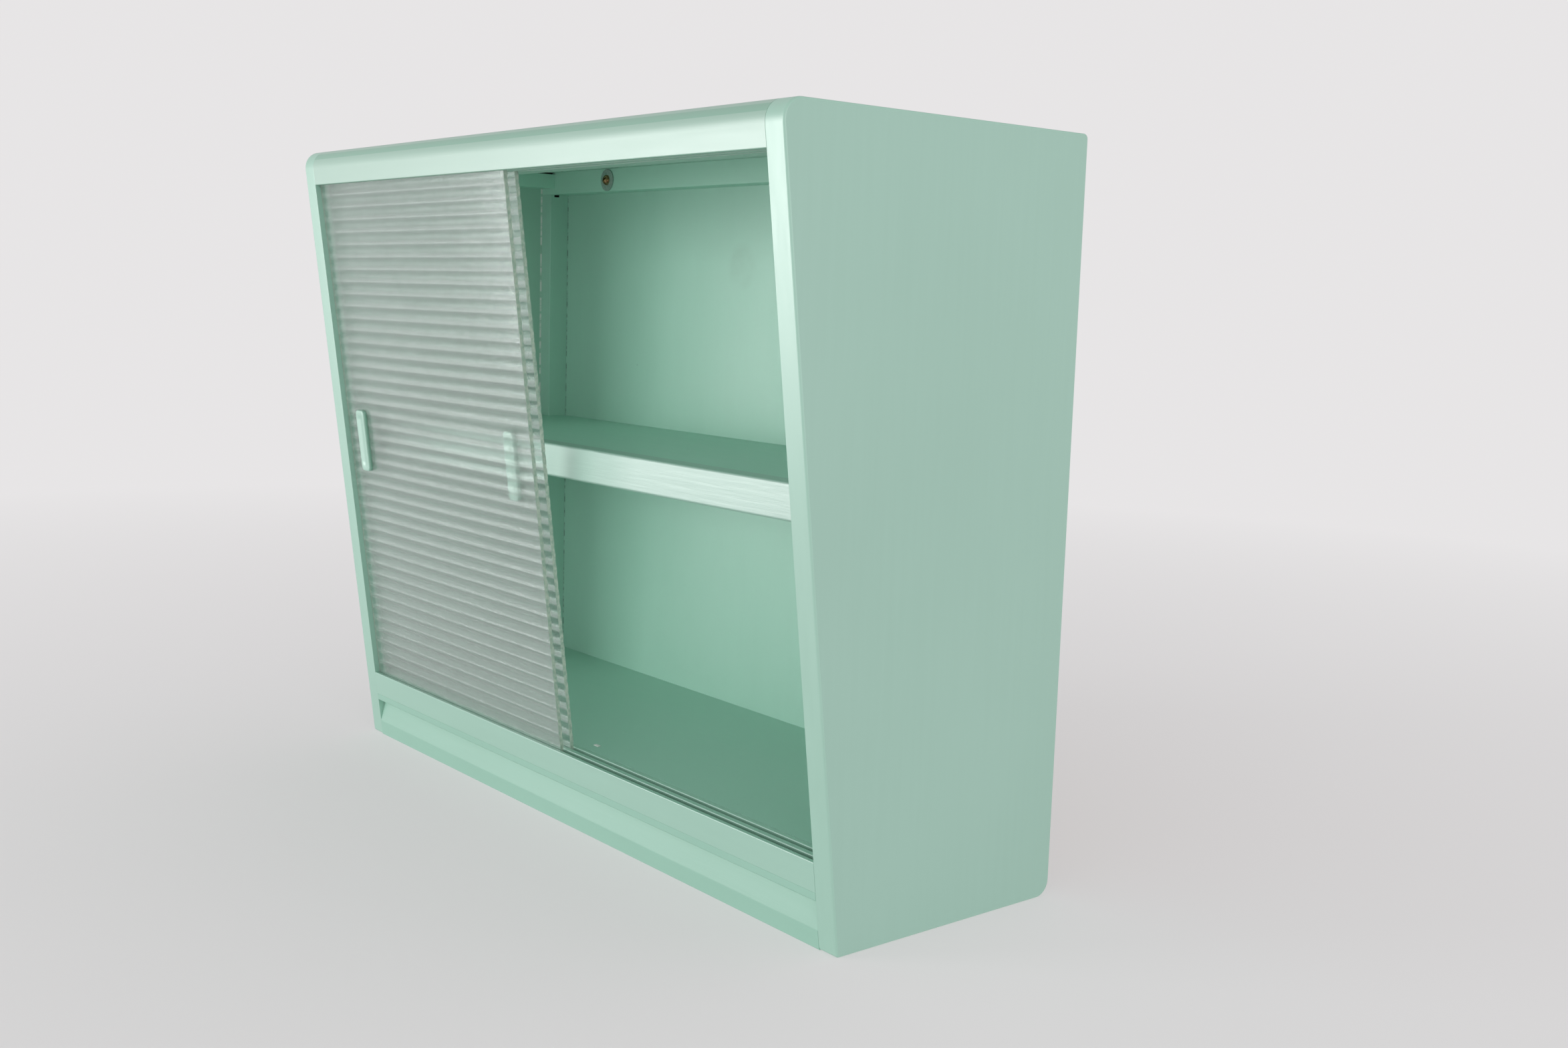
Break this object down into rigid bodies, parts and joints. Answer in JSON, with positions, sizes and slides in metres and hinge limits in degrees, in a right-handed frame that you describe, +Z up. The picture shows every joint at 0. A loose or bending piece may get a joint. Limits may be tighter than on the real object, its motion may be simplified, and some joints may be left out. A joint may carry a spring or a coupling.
{
  "type": "glass door cabinet",
  "caption": "Painted wooden wall cabinet with a forward-leaning front, sliding doors of ribbed glass in grooved rails, an inner shelf and a screwed hanging rail.",
  "frame": {"origin": "under the middle of the cabinet's box, at its lower edge", "axes": "+X to the right along the front, +Y into the wall, +Z up"},
  "size_m": [0.752, 0.298, 0.6],
  "materials": {
    "painted_wood": "satin mint green paint, brushed, worn at the edges",
    "pull_paint": "satin mint green paint",
    "bare_wood": "bare beech",
    "screw_steel": "dull zinc",
    "washer_steel": "dull zinc",
    "ribbed_glass": "clear, smooth in front and ribbed behind",
    "pull_pad": "adhesive film"
  },
  "bodies": {
    "carcass": {"side_panel_left": "painted_wood", "side_panel_right": "painted_wood", "top_front_rail": "painted_wood", "sill_rail": "painted_wood", "apron_moulding": "painted_wood", "top_panel": "painted_wood", "back_panel": "painted_wood", "hanging_rail": "painted_wood", "rear_batten_left": "painted_wood", "rear_batten_right": "painted_wood", "floor_rear_rail": "painted_wood", "top_batten_left": "painted_wood", "top_batten_right": "painted_wood", "floor_panel": "painted_wood", "floor_cleat_left": "painted_wood", "floor_cleat_right": "painted_wood", "shelf_board": "painted_wood", "shelf_lipping": "painted_wood", "shelf_cleat_left": "painted_wood", "shelf_cleat_right": "painted_wood", "hanging_washers": "washer_steel", "rail_dowels": "bare_wood", "batten_screws": "screw_steel", "back_panel_pins": "screw_steel", "top_panel_pins": "screw_steel"},
    "front_door": {"front_door_glass": "ribbed_glass", "front_door_pull": "pull_paint", "front_pull_pad": "pull_pad"},
    "rear_door": {"rear_door_glass": "ribbed_glass", "rear_door_pull": "pull_paint", "rear_pull_pad": "pull_pad"}
  },
  "joints": [
    {"name": "front_door_slide", "type": "slide", "parent": "carcass", "child": "front_door", "axis": [1, 0, 0], "range_m": [0, 0.3515]},
    {"name": "rear_door_slide", "type": "slide", "parent": "carcass", "child": "rear_door", "axis": [1, 0, 0], "range_m": [0, 0.3515]}
  ]
}
